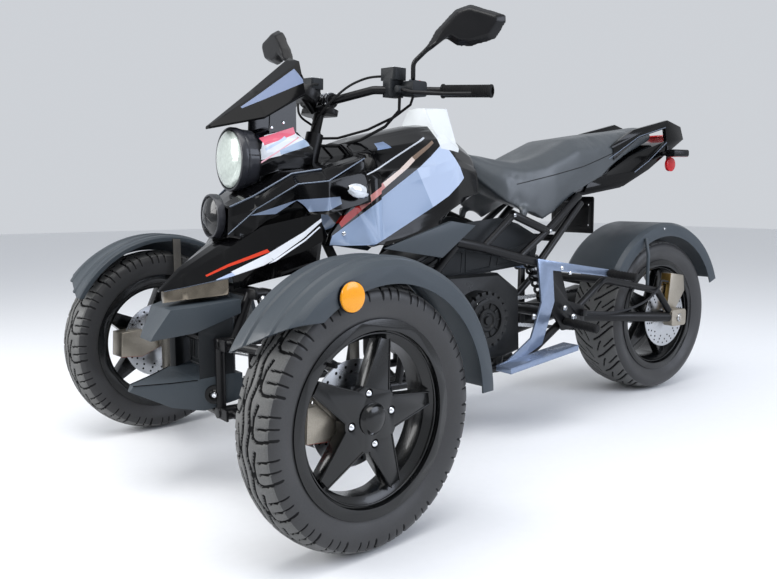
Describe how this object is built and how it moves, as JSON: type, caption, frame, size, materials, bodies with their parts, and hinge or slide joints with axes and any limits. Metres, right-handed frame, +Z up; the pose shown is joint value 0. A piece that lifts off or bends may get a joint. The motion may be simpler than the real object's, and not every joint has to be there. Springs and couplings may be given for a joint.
{
  "type": "motor trike",
  "caption": "Sports trike with two steered front wheels, one wide driven rear wheel, tubular frame, saddle and handlebar.",
  "frame": {"origin": "on the ground at the middle of the overall length and width", "axes": "+X forward, +Y to the rider's left, +Z up"},
  "size_m": [2.3159, 1.3653, 1.245],
  "materials": {
    "gloss_black": "gloss",
    "matt_grey": "moulded",
    "satin_black": "powder coat",
    "tyre_rubber": "rubber",
    "cast_alloy": "cast",
    "steel": "ground",
    "seat_cover": "grained",
    "grip_rubber": "matte",
    "lamp_lens": "clear",
    "red_lens": "gloss",
    "amber_lens": "gloss",
    "bright_panel": "polished",
    "mirror_shell": "satin",
    "engine_black": "painted"
  },
  "bodies": {
    "chassis": {"front_frame": "satin_black", "frame_sides": "satin_black", "frame_spine": "satin_black", "frame_cradle": "satin_black", "brake_hose": "grip_rubber", "wishbones_left": "satin_black", "wishbones_right": "satin_black", "front_shocks": "satin_black", "engine": "engine_black", "exhaust": "satin_black", "swingarm": "satin_black", "chain": "steel", "rear_shock": "satin_black", "rear_caliper": "cast_alloy", "side_brackets": "satin_black", "foot_pegs": "grip_rubber", "bumper_mask": "matt_grey", "bright_strip": "bright_panel", "beak": "gloss_black", "upper_fairing": "gloss_black", "tank": "gloss_black", "seat": "seat_cover", "tail": "gloss_black", "rear_lamps": "red_lens", "plate_bracket": "satin_black", "rear_fender": "matt_grey", "side_panels": "matt_grey", "fly_screen": "gloss_black", "headlight": "lamp_lens", "headlight_cowl": "gloss_black", "lower_lamp": "lamp_lens", "front_indicators": "lamp_lens"},
    "handlebar": {"handlebar": "satin_black", "steering_stem": "satin_black", "grips": "grip_rubber", "switch_pods": "matt_grey", "levers": "satin_black", "mirrors": "mirror_shell", "gauge": "matt_grey", "bar_cables": "grip_rubber"},
    "steering_shaft": {"steering_shaft": "steel"},
    "tie_rod_left": {"tie_rod_left": "steel"},
    "tie_rod_right": {"tie_rod_right": "steel"},
    "rear_wheel": {"rear_tyre": "tyre_rubber", "rear_rim": "satin_black", "rear_hub": "steel"},
    "knuckle_left": {"knuckle_left": "cast_alloy", "front_caliper_left": "cast_alloy", "front_fender_left": "matt_grey", "fender_reflector_left": "amber_lens"},
    "front_wheel_left": {"front_tyre_left": "tyre_rubber", "front_rim_left": "satin_black", "front_disc_left": "steel"},
    "knuckle_right": {"knuckle_right": "cast_alloy", "front_caliper_right": "cast_alloy", "front_fender_right": "matt_grey", "fender_reflector_right": "amber_lens"},
    "front_wheel_right": {"front_tyre_right": "tyre_rubber", "front_rim_right": "satin_black", "front_disc_right": "steel"}
  },
  "joints": [
    {"name": "steer", "type": "hinge", "parent": "chassis", "child": "handlebar", "pos_m": [0.6, 0, 0.93], "axis": [-0.2588, 0, 0.9659], "range_deg": [-34.5, 21.5]},
    {"name": "steering_shaft_turn", "type": "hinge", "parent": "chassis", "child": "steering_shaft", "pos_m": [0.712, 0, 0.38], "axis": [0, 0, 1], "range_deg": [-34.5, 21.5]},
    {"name": "rear_wheel_spin", "type": "hinge", "parent": "chassis", "child": "rear_wheel", "pos_m": [-0.842, 0, 0.286], "axis": [0, 1, 0], "continuous": true},
    {"name": "knuckle_turn_left", "type": "hinge", "parent": "chassis", "child": "knuckle_left", "pos_m": [0.858, 0.495, 0.28], "axis": [0, 0, 1], "range_deg": [-34.5, 21.5]},
    {"name": "tie_rod_swing_left", "type": "hinge", "parent": "steering_shaft", "child": "tie_rod_left", "pos_m": [0.62258, -0.01019, 0.27], "axis": [0, 0, 1], "range_deg": [-21.5, 34.5]},
    {"name": "front_wheel_spin_left", "type": "hinge", "parent": "knuckle_left", "child": "front_wheel_left", "pos_m": [0.84894, 0.57449, 0.283], "axis": [-0.1132, 0.9936, 0], "continuous": true},
    {"name": "knuckle_turn_right", "type": "hinge", "parent": "chassis", "child": "knuckle_right", "pos_m": [0.858, -0.495, 0.28], "axis": [0, 0, 1], "range_deg": [-34.5, 21.5]},
    {"name": "tie_rod_swing_right", "type": "hinge", "parent": "steering_shaft", "child": "tie_rod_right", "pos_m": [0.62258, -0.01019, 0.27], "axis": [0, 0, 1], "range_deg": [-21.5, 34.5]},
    {"name": "front_wheel_spin_right", "type": "hinge", "parent": "knuckle_right", "child": "front_wheel_right", "pos_m": [0.86706, -0.57449, 0.283], "axis": [-0.1132, 0.9936, 0], "continuous": true}
  ],
  "couplings": [
    {"joint": "steering_shaft_turn", "follows": "steer", "ratio": 1},
    {"joint": "knuckle_turn_left", "follows": "steer", "ratio": 1},
    {"joint": "tie_rod_swing_left", "follows": "steer", "ratio": -1},
    {"joint": "knuckle_turn_right", "follows": "steer", "ratio": 1},
    {"joint": "tie_rod_swing_right", "follows": "steer", "ratio": -1}
  ]
}
